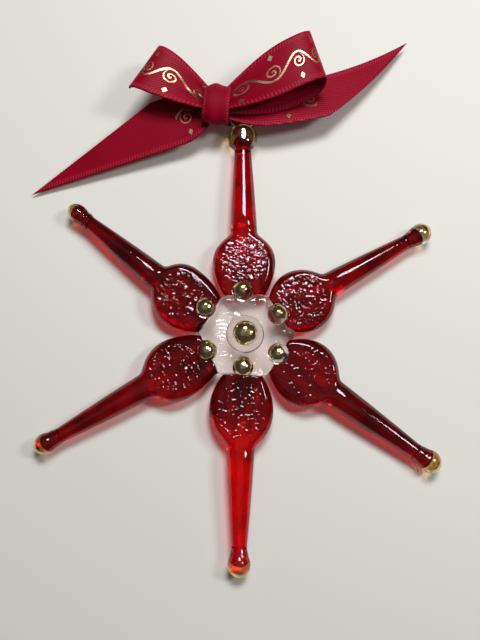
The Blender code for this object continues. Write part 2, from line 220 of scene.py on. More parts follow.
def clear_glass(name, ior, chilled):
    """Clear glass, a little hazy and wavy."""
    material, nodes, links, shader = new_material(name)
    shader.inputs["Base Color"].default_value = (0.83, 0.79, 0.79, 1.0) if chilled \
        else (0.95, 0.94, 0.92, 1.0)
    shader.inputs["Transmission Weight"].default_value = 1.0
    shader.inputs["IOR"].default_value = ior
    place, height, polish = fire_polish(nodes, links, 300.0)
    links.new(polish, shader.inputs["Roughness"])
    if chilled:
        total = nodes.new("ShaderNodeMath")
        total.operation = "ADD"
        links.new(chill_rings(nodes, links, place), total.inputs[0])
        links.new(height, total.inputs[1])
        height = total.outputs["Value"]
    bump_from(nodes, links, shader, height, 0.0004 if chilled else 0.0002)
    let_lamps_through(nodes, links, shader, (0.48, 0.46, 0.46) if chilled else (0.84, 0.81, 0.79))
    return material


CHILLED_GLASS = clear_glass("clear_chilled_glass", 1.5, True)
CLEAR_GLASS = clear_glass("clear_bead_glass", 1.5, False)
FUSED_SEAM = clear_glass("clear_fused_seam", 1.02, False)

bpy.ops.object.select_all(action="DESELECT")
bpy.ops.mesh.primitive_cylinder_add(vertices=72, radius=HUB_REACH, depth=HUB_THICKNESS,
                                    location=(0, 0, HUB_THICKNESS / 2))
hub = bpy.context.active_object
hub.name = "clear_hub"
bpy.ops.object.mode_set(mode="EDIT")
for root in ROOT_ANGLES.values():
    bpy.ops.mesh.select_all(action="SELECT")
    bpy.ops.mesh.bisect(plane_co=heading(root) * HUB_FLAT, plane_no=heading(root),
                        use_fill=True, clear_outer=True)
bpy.ops.object.mode_set(mode="OBJECT")
edge = hub.modifiers.new("edge", "BEVEL")
edge.width = HUB_EDGE
edge.segments = 5
edge.limit_method = "ANGLE"
edge.angle_limit = math.radians(50)
apply_all(hub)
lumps = []
for x, y, z, radius in HUB_LUMPS:
    bpy.ops.object.select_all(action="DESELECT")
    bpy.ops.mesh.primitive_uv_sphere_add(segments=24, ring_count=16, radius=radius * MM,
                                         location=(x * MM, y * MM, z * MM))
    lumps.append(bpy.context.active_object)
pick(hub)
for lump in lumps:
    lump.select_set(True)
bpy.ops.object.join()
melt(hub, HUB_FUSING, HUB_SOFTENING)
swirl = bpy.data.textures.new("hub_swirl", "CLOUDS")
swirl.noise_scale = HUB_RIPPLE_SIZE
pressed_face = hub.modifiers.new("pressed_face", "DISPLACE")
pressed_face.texture = swirl
pressed_face.texture_coords = "LOCAL"
pressed_face.mid_level = 0.55
pressed_face.strength = HUB_RIPPLE
apply_all(hub)
flatten_where(hub, REST_GAP, lambda spot: spot.z < HUB_UNDERSIDE)
settle(hub, "hub", "clear_glass", CHILLED_GLASS)


# Points
# Six lengths of red rod, each with its inner end pressed into a round paddle while hot. The tool
# left a hammered print in the upper face, and the outer end was drawn thin into its bead.
AXIS_HEIGHT = 3.5 * MM               # of all rods and beads
PADDLE_LEVEL = 2.7 * MM              # half the pressed thickness
PRESS_OVAL = (0.98, 1.3)             # the tool's reach along and across, as shares of the paddle
PRINT_OVAL = (0.84, 0.8)             # the same of its hammered face
PRINT_EDGE = 0.16                    # the share of the oval over which the print dies away
POINT_SOFTENING = 30                 # rounds of smoothing after the press
PADDLE_PAINTED_SHADE = 0.03                 # painted shade: how much darker a paddle is coloured than a usual rod
TIP_OVERLAP = 1.15 * MM              # how far a bead's glass reaches back over the rod
LOOP_OVERLAP = 0.7 * MM
# in millimetres
JOINT_RADIUS = 10.32
NECK_HALF_WIDTH = 5.3
PADDLE_FULLNESS = 4.4                # half the thickness at the joint, before the press
PADDLE_END = 2.85                    # the same where the rod begins
# as shares of the paddle's length
THINNING = (0.45, 0.5)               # from PADDLE_FULLNESS to PADDLE_END: where, over how much
ROUNDING = (0.95, 0.45)              # from there to the round rod
ROD_START = 1.15
SHOULDER_BLEND = 5                   # high: a sharp corner between paddle and rod
ROD_TAPER_POWER = 1.25
NECK_RINGS = 9
PADDLE_RINGS = 14
ROD_RINGS = 14
# the rounded end at the joint: how far back, how much slimmer, half height
NOSE_RINGS = ((0.55, 1.6, 1.2), (0.4, 0.6, 2.2), (0.15, 0.1, 3.4))
# The red core runs on inside the bead: how far, and its share of the waist's radius there.
CORE_IN_TIP = ((0.8, 1.08), (1.6, 1.14), (2.4, 1.08), (2.9, 0.88), (3.25, 0.52), (3.4, 0.12))
CORE_IN_LOOP = ((0.9, 1.0), (1.8, 0.92), (2.6, 0.72), (3.2, 0.48), (3.7, 0.24), (3.95, 0.06))
WAIST_RING = -1 - len(CORE_IN_TIP)   # counted from the end of a point
# heading in degrees, then in millimetres the paddle's middle, half width and length to the rod, and
# the rod's radius, waist and length. Last how hard the tool was pressed, the painted light (above 0)
# and painted shade (below 0) in the rod's red, how far the core runs into the bead and how large the
# bead is, as shares of the usual.
Point = namedtuple("Point", "heading middle half_width shoulder rod waist length press pale core bead")
POINTS = {
    "top": Point(90.6, 18.9, 8.1, 7.5, 3.5, 2.15, 30.0, 1.1, 0.08, 1.0, 1.0),
    "upper_right": Point(29.6, 16.7, 8.3, 8.6, 3.3, 1.75, 32.4, 1.0, -0.02, 0.9, 0.97),
    "lower_right": Point(-35.7, 18.1, 8.6, 8.3, 3.5, 1.9, 34.0, 0.7, -0.06, 0.95, 1.0),
    "bottom": Point(-90.8, 18.6, 8.1, 9.5, 3.5, 1.8, 34.1, 1.1, 0.27, 0.98, 1.0),
    "lower_left": Point(-150.2, 19.5, 7.9, 8.5, 3.4, 1.8, 33.7, 1.9, 0.02, 1.1, 0.9),
    "upper_left": Point(140.9, 19.2, 8.2, 7.7, 3.4, 1.75, 31.3, 1.35, -0.12, 1.3, 0.85),
}


def ease(value):
    """0 to 1 with a soft start and end."""
    value = min(max(value, 0.0), 1.0)
    return value * value * (3 - 2 * value)


def draw_out(name, sides, rings):
    """Hot glass drawn out along +X through rings of (along, aside, half width, half height)."""
    bpy.ops.object.select_all(action="DESELECT")
    along, aside, width, height = rings[0]
    bpy.ops.mesh.primitive_circle_add(vertices=sides, radius=1.0, fill_type="NGON",
                                      location=(along, aside, 0), rotation=(0, math.radians(90), 0))
    piece = bpy.context.active_object
    piece.name = name
    bpy.ops.object.mode_set(mode="EDIT")
    bpy.ops.mesh.select_all(action="SELECT")
    bpy.ops.transform.resize(value=(1, width, height), center_override=(along, aside, 0))
    for before, after in zip(rings, rings[1:]):
        step = (after[0] - before[0], after[1] - before[1], 0)
        bpy.ops.mesh.extrude_region_move(TRANSFORM_OT_translate={"value": step})
        bpy.ops.transform.resize(value=(1, after[2] / before[2], after[3] / before[3]),
                                 center_override=(after[0], after[1], 0))
    bpy.ops.mesh.select_all(action="SELECT")
    bpy.ops.mesh.normals_make_consistent(inside=False)
    bpy.ops.object.mode_set(mode="OBJECT")
    bpy.ops.object.transform_apply(location=True, rotation=True, scale=True)
    return piece


def smooth_out(piece):
    """Round off the steps between the rings."""
    smooth = piece.modifiers.new("smooth", "SUBSURF")
    smooth.levels = 2
    smooth.render_levels = 2
    apply_all(piece)


def two_tones(nodes, links, amount, first, last):
    """A colour that runs from one tone to another; each is a position and a colour."""
    colour = nodes.new("ShaderNodeValToRGB")
    for element, (position, tone) in zip(colour.color_ramp.elements, (first, last)):
        element.position = position
        element.color = (*tone, 1.0)
    links.new(amount, colour.inputs["Fac"])
    return colour.outputs["Color"]


def red_glass(name, ior):
    """Ruby glass, streaked along the rod, with painted shade that darkens it where the face turns away
    from the view.
    """
    material, nodes, links, shader = new_material(name)
    shader.inputs["Transmission Weight"].default_value = 1.0
    shader.inputs["Specular Tint"].default_value = (1.0, 0.86, 0.98, 1.0)
    shader.inputs["IOR"].default_value = ior
    drawn = nodes.new("ShaderNodeAttribute")
    drawn.attribute_name = "drawn"
    stretch = nodes.new("ShaderNodeMapping")
    stretch.inputs["Scale"].default_value = (150.0, 560.0, 560.0)
    links.new(drawn.outputs["Vector"], stretch.inputs["Vector"])
    streak = nodes.new("ShaderNodeTexNoise")
    streak.inputs["Scale"].default_value = 1.0
    streak.inputs["Detail"].default_value = 3.0
    links.new(stretch.outputs["Vector"], streak.inputs["Vector"])
    # Painted light and shade: the pale attribute lifts or lowers each rod's red and darkens its paddle.
    pale = nodes.new("ShaderNodeAttribute")
    pale.attribute_name = "pale"
    tone = nodes.new("ShaderNodeMath")
    tone.operation = "ADD"
    links.new(streak.outputs["Fac"], tone.inputs[0])
    links.new(pale.outputs["Fac"], tone.inputs[1])
    colour = two_tones(nodes, links, tone.outputs["Value"],
                       (0.35, (0.16, 0.0003, 0.0022)), (0.95, (0.95, 0.0016, 0.010)))
    # Painted shade: the colour darkens to near black where the face turns away from the view.
    edge_on = nodes.new("ShaderNodeLayerWeight")
    shade = nodes.new("ShaderNodeMapRange")
    shade.inputs["From Min"].default_value = 0.45
    shade.inputs["From Max"].default_value = 0.85
    shade.inputs["To Min"].default_value = 0.0
    shade.inputs["To Max"].default_value = 0.85
    links.new(edge_on.outputs["Facing"], shade.inputs["Value"])
    rim_painted_shade = nodes.new("ShaderNodeMix")
    rim_painted_shade.data_type = "RGBA"
    rim_painted_shade.inputs["B"].default_value = (0.03, 0.0002, 0.0016, 1.0)
    links.new(shade.outputs["Result"], rim_painted_shade.inputs["Factor"])
    links.new(colour, rim_painted_shade.inputs["A"])
    links.new(rim_painted_shade.outputs["Result"], shader.inputs["Base Color"])
    _, waves, polish = fire_polish(nodes, links, 700.0)
    links.new(polish, shader.inputs["Roughness"])
    pressed = nodes.new("ShaderNodeAttribute")
    pressed.attribute_name = "pressed"
    grain = nodes.new("ShaderNodeMapping")
    grain.vector_type = "TEXTURE"
    grain.inputs["Rotation"].default_value = (0.0, 0.0, math.radians(55))
    grain.inputs["Scale"].default_value = (0.0019, 0.00095, 0.00095)
    links.new(drawn.outputs["Vector"], grain.inputs["Vector"])
    crumple = nodes.new("ShaderNodeTexNoise")
    crumple.inputs["Scale"].default_value = 1.0
    crumple.inputs["Detail"].default_value = 0.3
    crumple.inputs["Distortion"].default_value = 0.7
    links.new(grain.outputs["Vector"], crumple.inputs["Vector"])
    dents = nodes.new("ShaderNodeMath")
    dents.operation = "MULTIPLY"
    links.new(crumple.outputs["Fac"], dents.inputs[0])
    links.new(pressed.outputs["Fac"], dents.inputs[1])
    height = nodes.new("ShaderNodeMath")
    height.operation = "MULTIPLY_ADD"
    height.inputs[1].default_value = 0.12
    links.new(waves, height.inputs[0])
    links.new(dents.outputs["Value"], height.inputs[2])
    bump_from(nodes, links, shader, height.outputs["Value"], 0.00024)
    let_lamps_through(nodes, links, shader, (0.36, 0.012, 0.02))
    return material


RED_GLASS = red_glass("ruby_glass", 1.5)
RED_CORE = red_glass("ruby_core", 1.02)


def point_rings(name):
    """The rings of a point, from its joint with the hub to the end of its core."""
    point = POINTS[name]
    turn = point.heading - ROOT_ANGLES[name]
    neck = point.middle - JOINT_RADIUS
    rod_start = point.shoulder * ROD_START
    stations = [-neck + neck * i / NECK_RINGS for i in range(NECK_RINGS + 1)]
    stations += [rod_start * i / PADDLE_RINGS for i in range(1, PADDLE_RINGS + 1)]
    stations += [rod_start + (point.length - rod_start) * i / ROD_RINGS for i in range(1, ROD_RINGS + 1)]
    rings = []
    along, aside = JOINT_RADIUS, 0.0
    last = stations[0]
    for station in stations:
        reach = station / point.shoulder
        bend = math.radians(turn * ease(reach + 0.5))
        along += math.cos(bend) * (station - last)
        aside += math.sin(bend) * (station - last)
        last = station
        share = min(max((station - point.shoulder) / (point.length - point.shoulder), 0.0), 1.0)
        radius = point.rod + (point.waist - point.rod) * share ** ROD_TAPER_POWER
        if station < 0:
            fullness = 1 - (station / neck) ** 2
            width = NECK_HALF_WIDTH + (point.half_width - NECK_HALF_WIDTH) * fullness
        else:
            oval = point.half_width * math.sqrt(max(0.0, 1 - reach ** 2))
            width = (oval ** SHOULDER_BLEND + radius ** SHOULDER_BLEND) ** (1 / SHOULDER_BLEND)
        thinned = ease((reach - THINNING[0]) / THINNING[1])
        rounded = ease((reach - ROUNDING[0]) / ROUNDING[1])
        height = PADDLE_FULLNESS * (1 - thinned) + PADDLE_END * thinned
        height = height * (1 - rounded) + radius * rounded
        rings.append((along, aside, width, height))
    bend = math.radians(turn)
    for out, share in CORE_IN_LOOP if name == "top" else CORE_IN_TIP:
        out *= point.core
        rings.append((along + math.cos(bend) * out, aside + math.sin(bend) * out,
                      point.waist * share, point.waist * share))
    start, _, width, _ = rings[0]
    nose = [(start - back, 0.0, width - slimmer, height) for back, slimmer, height in NOSE_RINGS]
    return [tuple(value * MM for value in ring) for ring in nose + rings]


def press(piece, middle, oval_along, oval_across):
    """Press both faces flat, from the joint with the hub to the outer end of the tool's oval."""
    for side in (1, -1):
        flatten_where(piece, PADDLE_LEVEL * side, lambda spot: spot.z * side > PADDLE_LEVEL
                      and math.hypot(max(spot.x - middle, 0.0) / oval_along, spot.y / oval_across) < 1)


def print_texture(name, size, kind):
    """One layer of the hammered print."""
    texture = bpy.data.textures.new(name, "CLOUDS")
    texture.noise_scale = size
    texture.noise_type = kind
    texture.noise_depth = 1
    return texture


# each layer with its depth
PRINT_LAYERS = ((print_texture("print_coarse", 0.95 * MM, "HARD_NOISE"), 0.3 * MM),
                (print_texture("print_fine", 0.75 * MM, "SOFT_NOISE"), 0.11 * MM))


def print_group(piece, middle, oval_along, oval_across, strength):
    """Weights for the print: full inside the oval, upper face only, with a soft edge."""
    weights = []
    for vertex in piece.data.vertices:
        reach = math.hypot((vertex.co.x - middle) / oval_along, vertex.co.y / oval_across)
        upper = vertex.co.z > PADDLE_LEVEL * 0.8
        weights.append(ease((1 - reach) / PRINT_EDGE) * strength if upper else 0.0)
    group = piece.vertex_groups.new(name="print")
    for index, weight in enumerate(weights):
        group.add([index], weight, "REPLACE")
    pressed = piece.data.attributes.new("pressed", "FLOAT", "POINT")
    for value, weight in zip(pressed.data, weights):
        value.value = weight


for name, sizes in POINTS.items():
    middle = sizes.middle * MM
    half_width = sizes.half_width * MM
    shoulder = sizes.shoulder * MM
    point = draw_out("red_point_" + name, 32, point_rings(name))
    smooth_out(point)
    press(point, middle, shoulder * PRESS_OVAL[0], half_width * PRESS_OVAL[1])
    soften = point.modifiers.new("soften", "SMOOTH")
    soften.iterations = POINT_SOFTENING
    apply_all(point)
    print_group(point, middle, shoulder * PRINT_OVAL[0], half_width * PRINT_OVAL[1], sizes.press)
    drawn = point.data.attributes.new("drawn", "FLOAT_VECTOR", "POINT")
    for vertex, value in zip(point.data.vertices, drawn.data):
        value.vector = vertex.co
    # Painted light and shade: each rod's red is lifted or lowered by its own amount, and its paddle
    # darkened.
    pale = point.data.attributes.new("pale", "FLOAT", "POINT")
    for vertex, value in zip(point.data.vertices, pale.data):
        on_rod = ease((vertex.co.x - middle) / shoulder)
        value.value = (sizes.pale + PADDLE_PAINTED_SHADE) * on_rod - PADDLE_PAINTED_SHADE
    overlap = LOOP_OVERLAP if name == "top" else TIP_OVERLAP
    bead_start = point_rings(name)[WAIST_RING][0] - overlap
    for face in point.data.polygons:
        face.material_index = 1 if face.center.x > bead_start else 0
    point.rotation_euler.z = math.radians(ROOT_ANGLES[name])
    point.location.z = AXIS_HEIGHT
    bpy.ops.object.transform_apply(location=True, rotation=True, scale=True)
    for texture, depth in PRINT_LAYERS:
        dent = point.modifiers.new(texture.name, "DISPLACE")
        dent.texture = texture
        dent.texture_coords = "LOCAL"
        dent.direction = "Z"
        dent.vertex_group = "print"
        dent.mid_level = 0.7
        dent.strength = depth
    apply_all(point)
    settle(point, "point_" + name, "red_glass", RED_GLASS, RED_CORE)


# Tips
# Each free point ends in a bead of clear glass round the thin end of the red rod. Gold lustre was
# fired on the outer half, with an uneven edge where the brush left it.
TIP_GOLD = 3.2                       # how far out the lustre begins, in millimetres
TIP_THIN_GOLD = 1.3                  # width of its thin edge
TIP_LEAN = 3.0                       # a low value leans the lustre further over
BRUSH_GRAIN = 550.0                  # the lustre's uneven edge: how fine it is
BRUSH_WAVER = 0.35                   # and how far it wavers
SEAM_SHARE = 0.97                    # of the waist, inside which a bead is fused to its rod
# along, and how much wider than the waist
TIP_RINGS = ((-1.3, 0.02), (-0.9, 0.12), (-0.3, 0.25), (0.3, 0.42))
# which way the lustre was brushed further down the side
TIP_BRUSHED = {"upper_right": Vector((0, 0.4, 0.8)), "lower_right": Vector((0.8, 0, 0.2)),
               "bottom": Vector((-0.8, 0, -0.6)), "lower_left": Vector((-0.6, -0.3, -0.4)),
               "upper_left": Vector((-1.6, -0.6, 0.2))}
# along, and radius
TIP_SWELL = ((1.0, 2.32), (1.7, 2.64), (2.5, 2.84), (3.2, 2.88), (4.0, 2.74), (4.8, 2.32),
             (5.45, 1.65), (5.9, 0.9), (6.08, 0.2))


def gold_lustre():
    """Liquid gold fired on glass: bright and thin, with darker, rougher patches."""
    material, nodes, links, shader = new_material("gold_lustre")
    shader.inputs["Metallic"].default_value = 1.0
    place, height, polish = fire_polish(nodes, links, 500.0)
    patches = nodes.new("ShaderNodeTexNoise")
    patches.inputs["Scale"].default_value = 650.0
    patches.inputs["Detail"].default_value = 3.0
    links.new(place, patches.inputs["Vector"])
    colour = two_tones(nodes, links, patches.outputs["Fac"],
                       (0.35, (0.58, 0.41, 0.16)), (0.62, (0.95, 0.78, 0.44)))
    links.new(colour, shader.inputs["Base Color"])
    dull = nodes.new("ShaderNodeMath")
    dull.operation = "MULTIPLY_ADD"
    dull.inputs[1].default_value = 1.6
    dull.inputs[2].default_value = 0.09
    links.new(polish, dull.inputs[0])
    links.new(dull.outputs["Value"], shader.inputs["Roughness"])
    bump_from(nodes, links, shader, height, 0.00028)
    return material


def thin_lustre():
    """Gold so thin that light goes through it, olive to amber."""
    material, nodes, links, shader = new_material("thin_lustre")
    shader.inputs["Transmission Weight"].default_value = 1.0
    shader.inputs["IOR"].default_value = 1.5
    shader.inputs["Coat Weight"].default_value = 1.0
    shader.inputs["Coat IOR"].default_value = 2.2
    shader.inputs["Coat Tint"].default_value = (1.0, 0.86, 0.58, 1.0)
    place, height, polish = fire_polish(nodes, links, 500.0)
    patches = nodes.new("ShaderNodeTexNoise")
    patches.inputs["Scale"].default_value = 450.0
    links.new(place, patches.inputs["Vector"])
    colour = two_tones(nodes, links, patches.outputs["Fac"],
                       (0.35, (0.45, 0.31, 0.10)), (0.65, (0.85, 0.72, 0.42)))
    links.new(colour, shader.inputs["Base Color"])
    links.new(polish, shader.inputs["Roughness"])
    bump_from(nodes, links, shader, height, 0.0002)
    let_lamps_through(nodes, links, shader, (0.6, 0.5, 0.3))
    return material


GOLD_LUSTRE = gold_lustre()
THIN_LUSTRE = thin_lustre()


def gild(piece, thin, amount_at, inside_at=lambda centre: False):
    """Give each face its finish, by how much lustre it has and whether it lies inside a seam."""
    for face in piece.data.polygons:
        amount = amount_at(face.center) + noise.noise(face.center * BRUSH_GRAIN) * BRUSH_WAVER
        face.material_index = 0 if amount < 0 else 1 if amount < thin else 2
        if inside_at(face.center):
            face.material_index = 3


def settle_gilded(piece, node):
    """Leave a piece of gilded glass in place of its plain solid."""
    settle(piece, node, "gold_lustre_glass", CLEAR_GLASS, THIN_LUSTRE, GOLD_LUSTRE, FUSED_SEAM)


def point_end(name):
    """Where the waist of a point lies."""
    rings = point_rings(name)
    along, aside = rings[WAIST_RING][:2]
    place = Matrix.Rotation(math.radians(ROOT_ANGLES[name]), 4, "Z") @ Vector((along, aside, 0))
    return place + Vector((0, 0, AXIS_HEIGHT))


def lay_along(piece, name):
    """Put a piece that was made along +X on the end of a point."""
    piece.location = point_end(name)
    piece.rotation_euler.z = math.radians(POINTS[name].heading)


for name, sizes in POINTS.items():
    if name == "top":
        continue
    rings = [(along, 0.0, sizes.waist + over, sizes.waist + over) for along, over in TIP_RINGS]
    rings += [(along, 0.0, radius * sizes.bead, radius * sizes.bead) for along, radius in TIP_SWELL]
    tip = draw_out("bead_tip_" + name, 20, [tuple(value * MM for value in ring) for ring in rings])
    smooth_out(tip)
    lay_along(tip, name)
    settle_gilded(tip, "tip_" + name)
    end = point_end(name)
    outwards = heading(sizes.heading)
    brushed = (outwards * TIP_LEAN + TIP_BRUSHED[name]).normalized()
    gild(tip, TIP_THIN_GOLD, lambda centre: (centre - end).dot(brushed) / MM - TIP_GOLD,
         lambda centre: (centre - end).dot(outwards) < 0
         and (centre - end).cross(outwards).length < sizes.waist * MM * SEAM_SHARE)


# Centre dome
# A lump of clear glass was dropped on the middle of the hub and a second, smaller one on top of it.
# Gold lustre covers the upper one, and a clear ring is left round it.
# middle, radius and half height of each lump, in millimetres
DOME_LUMPS = ((0.0, 0.0, 6.9, 4.75, 0.6), (0.1, -0.1, 7.2, 4.35, 2.6), (0.0, 0.0, 9.4, 3.1, 2.4))
DOME_LIP = (3.7 * MM, 0.75 * MM, 7.5 * MM)    # radius of the ring, of its glass, and level
DOME_FUSING = 0.12 * MM
DOME_FOOT = 6.35 * MM                # sunk a little into the hub
DOME_GOLD = 2.95 * MM                # mean radius of the gold
DOME_GOLD_LEVEL = 7.8 * MM           # no gold below
DOME_THIN_GOLD = 0.12                # width of its thin edge, in millimetres


def lump_of_glass(x, y, z, radius, height):
    """A flattened drop of molten glass, in millimetres."""
    bpy.ops.object.select_all(action="DESELECT")
    bpy.ops.mesh.primitive_uv_sphere_add(segments=40, ring_count=24, radius=1.0,
                                         location=(x * MM, y * MM, z * MM))
    piece = bpy.context.active_object
    piece.scale = (radius * MM, radius * MM, height * MM)
    bpy.ops.object.transform_apply(location=True, rotation=True, scale=True)
    return piece


lumps = [lump_of_glass(*sizes) for sizes in DOME_LUMPS]
dome = lumps[0]
dome.name = "stepped_dome"
bpy.ops.object.select_all(action="DESELECT")
bpy.ops.mesh.primitive_torus_add(major_radius=DOME_LIP[0], minor_radius=DOME_LIP[1],
                                 major_segments=64, minor_segments=20, location=(0, 0, DOME_LIP[2]))
lumps.append(bpy.context.active_object)
pick(dome)
for lump in lumps[1:]:
    lump.select_set(True)
bpy.ops.object.join()
melt(dome, DOME_FUSING, 1)
flatten_where(dome, DOME_FOOT, lambda spot: spot.z < DOME_FOOT)
settle_gilded(dome, "centre_dome")
gild(dome, DOME_THIN_GOLD, lambda centre: -1 if centre.z < DOME_GOLD_LEVEL
     else (DOME_GOLD - math.hypot(centre.x, centre.y)) / MM)


# Dots
# A small drop of clear glass covers the joint of the hub and each point. Each has a cap of gold
# lustre, set a little off its middle by hand, so that a rim of clear glass shows on one side.
DOT_RADIUS = 2.65 * MM
DOT_LEVEL = 8.2 * MM
DOT_THIN_GOLD = 0.1                  # as an angle
# name: distance from the middle, direction, where the gold's middle leans to, its half angle
DOTS = {
    "top": (10.72, 93.0, 190.0, 30.0, 54.0),
    "upper_right": (9.42, 30.5, 45.0, 28.0, 57.0),
    "lower_right": (9.52, -31.2, 150.0, 12.0, 47.0),
    "bottom": (8.22, -93.7, 90.0, 6.0, 76.0),
    "lower_left": (10.42, -155.8, 10.0, 18.0, 60.0),
    "upper_left": (11.72, 146.6, -135.0, 10.0, 64.0),
}

for name, (distance, angle, lean_to, lean, spread) in DOTS.items():
    middle = heading(angle) * distance * MM + Vector((0, 0, DOT_LEVEL))
    bpy.ops.object.select_all(action="DESELECT")
    bpy.ops.mesh.primitive_uv_sphere_add(segments=48, ring_count=32, radius=DOT_RADIUS,
                                         location=middle)
    bead = bpy.context.active_object
    bead.name = "glass_dot_" + name
    bpy.ops.object.transform_apply(location=True, rotation=True, scale=True)
    flatten_where(bead, HUB_THICKNESS, lambda spot: spot.z < HUB_THICKNESS)
    settle_gilded(bead, "dot_" + name)
    top = heading(lean_to) * math.sin(math.radians(lean)) \
        + Vector((0, 0, math.cos(math.radians(lean))))
    gild(bead, DOT_THIN_GOLD, lambda centre: math.radians(spread) - (centre - middle).angle(top))


# Hanging loop
# The top rod ends in a larger bead, with a collar where it was wound on. Its clear glass was drawn
# out, curled round and fused back to the bead to make the eye that the ribbon goes through.
# along and radius, in millimetres; it was laid over the rod as a thin film
LOOP_RINGS = ((-0.9, 2.17), (-0.5, 2.25), (0.0, 2.4), (0.4, 2.75), (0.8, 3.2), (1.4, 3.6), (2.3, 3.85),
              (3.3, 3.9), (4.3, 3.75), (5.2, 3.35), (6.1, 2.6), (6.8, 1.8), (7.3, 0.6))
LOOP_HALF_HEIGHT = 3.45
EYE_CENTRE = Vector((-0.61, 58.16, 3.5)) * MM
EYE_RADIUS = 2.6 * MM
EYE_WIRE_RADIUS = 1.2 * MM
EYE_CURL = (-3.1, 50.5, 3.7, 1.15, 1.15)
LOOP_GOLD = 1.8                      # how far out the lustre begins, in millimetres
LOOP_GOLD_SLANT = 0.5
LOOP_THIN_GOLD = 4.6

loop = draw_out("glass_loop", 24, [(along * MM, 0.0, radius * MM, min(radius, LOOP_HALF_HEIGHT) * MM)
                                   for along, radius in LOOP_RINGS])
smooth_out(loop)
lay_along(loop, "top")
bpy.ops.object.transform_apply(location=True, rotation=True, scale=True)
bpy.ops.object.select_all(action="DESELECT")
bpy.ops.mesh.primitive_torus_add(major_radius=EYE_RADIUS, minor_radius=EYE_WIRE_RADIUS,
                                 major_segments=64, minor_segments=24, location=EYE_CENTRE)
eye = bpy.context.active_object
curl = lump_of_glass(*EYE_CURL)
pick(loop)
for part in (eye, curl):
    fused = loop.modifiers.new("fused", "BOOLEAN")
    fused.operation = "UNION"
    fused.object = part
    apply_all(loop)
    bpy.data.objects.remove(part)
settle_gilded(loop, "hanging_loop")
start = point_end("top")
gild(loop, LOOP_THIN_GOLD, lambda centre: (centre.y - start.y) / MM - LOOP_GOLD
     + (centre.x - start.x) / MM * LOOP_GOLD_SLANT,
     lambda centre: centre.y < start.y and math.hypot(centre.x - start.x, centre.z - start.z)
     < POINTS["top"].waist * MM * SEAM_SHARE)


# Bow
# One length of crimson satin ribbon, 13 mm wide, with gold foil printed along its face. It is
# gathered through the eye of the loop and tied in a bow, and its ends are cut off at a slant.
RIBBON_WIDTH = 13.0 * MM
RIBBON_THICKNESS = 0.28 * MM
KNOT = Vector((-7.21, 59.06, 8.5)) * MM
KNOT_SIZE = (6.8, 10.5, 7.0)
GATHER = 0.3
# heading, reach, rise, half height, direction of the width at the knot and at the fold, and how far
# the layer below lies towards +Y of the one above
BOW_LOOPS = {"right": (24.0, 28.3, 3.0, 3.3, 90.0, 108.0, -1.8),
             "left": (155.0, 20.4, 2.4, 2.9, 80.0, 56.0, 2.2)}
LOOP_WIDENING = 20.0                 # from the knot to where the ribbon has its full width
LOOP_CROWN = 1.8                     # of the half height, since a loop is fullest before its fold
LOOP_BULGE = 0.7                     # low: a full loop with a tight fold
# direction at the knot and at the end, lengths of the selvages towards -Y and +Y, widening, drop, tilt
BOW_TAILS = {"right": (-0.5, 15.2, 28.5, 54.3, 16.0, 3.0, -16.0),
             "left": (197.0, 197.0, 52.8, 16.0, 11.0, 5.0, 9.0)}
TAIL_ROOT_DROP = 1.5
PLEAT_DEPTH = 0.55                   # of the folds that run out from the knot
PLEAT_REACH = 17.0
KNOT_TURN = -6.0                     # direction of its ribbon's width
KNOT_LENGTH = 28.0                   # of the ribbon that wraps it
KNOT_BELLY = 0.16
KNOT_FOLDS = 0.04
TIE_START = 130                      # where the ribbon begins round the eye's glass, in degrees
TIE_TURN = 270
TIE_LENGTH = 12.0
TIE_HALF_WIDTH = 1.9
TIE_STAND_OFF = 0.75
TIE_FOLDS = 0.14
RIB_PITCH = 0.65                     # the satin's slanting ribs
RIB_SLANT = 0.22                     # sideways for each millimetre along
STITCH_PITCH = 0.74                  # along both selvages
STITCH_SLANT = 1.6
STITCH_GAP = 0.35
SELVAGE = (0.25, 1.45)               # the stitches' reach from the edge
RIBBON_MIDDLE = 6.5
# gold foil, in millimetres
PRINT_LENGTH = 26.0
PRINT_REPEAT = 60.0
PRINT_HALF_WIDTH = 5.0
VINE_PITCH = 13.0
VINE_SWING = 2.3
VINE_LINE = (0.22, 0.2)              # half width: what the slope adds, and the least
SPIRAL_PITCH = 1.15
SPIRAL_LINE = 0.16                   # half its line, as a share of the pitch
SPIRAL_RADIUS = 1.75
GEM_PLACE = 4.1                      # from the ribbon's middle
GEM_HALF_LENGTH = 0.62
GEM_SLENDERNESS = 0.7


def strip(name, along_steps, across_steps, place_at, start, turned_over):
    """A strip of ribbon; place_at gives its place from u along and v across, start its printing."""
    bpy.ops.object.select_all(action="DESELECT")
    bpy.ops.mesh.primitive_grid_add(x_subdivisions=along_steps, y_subdivisions=across_steps,
                                    size=2.0, calc_uvs=True)
    piece = bpy.context.active_object
    piece.name = name
    shares = [((vertex.co.x + 1) / 2, vertex.co.y) for vertex in piece.data.vertices]
    lengths = {}
    for vertex, (u, v) in zip(piece.data.vertices, shares):
        vertex.co, lengths[vertex.index] = place_at(u, v)
    layer = piece.data.uv_layers.active.data
    for corner in piece.data.loops:
        u, v = shares[corner.vertex_index]
        layer[corner.index].uv = ((start + lengths[corner.vertex_index]) * MM / RIBBON_WIDTH,
                                  (v + 1) / 2)
    if turned_over:
        bpy.ops.object.mode_set(mode="EDIT")
        bpy.ops.mesh.select_all(action="SELECT")
        bpy.ops.mesh.flip_normals()
        bpy.ops.object.mode_set(mode="OBJECT")
    return piece


def gathered(distance, widening):
    """Half the ribbon's width at a distance from the knot, in millimetres."""
    share = math.sin(min(distance / widening, 1.0) * math.pi / 2)
    return RIBBON_WIDTH / MM / 2 * (GATHER + (1 - GATHER) * share)


def pleat(v, distance, reach, phase):
    """Depth of the folds that run out from the knot and die away."""
    fade = max(0.0, 1 - distance / reach) ** 1.3
    return PLEAT_DEPTH * fade * math.cos(v * 7.2 + phase)


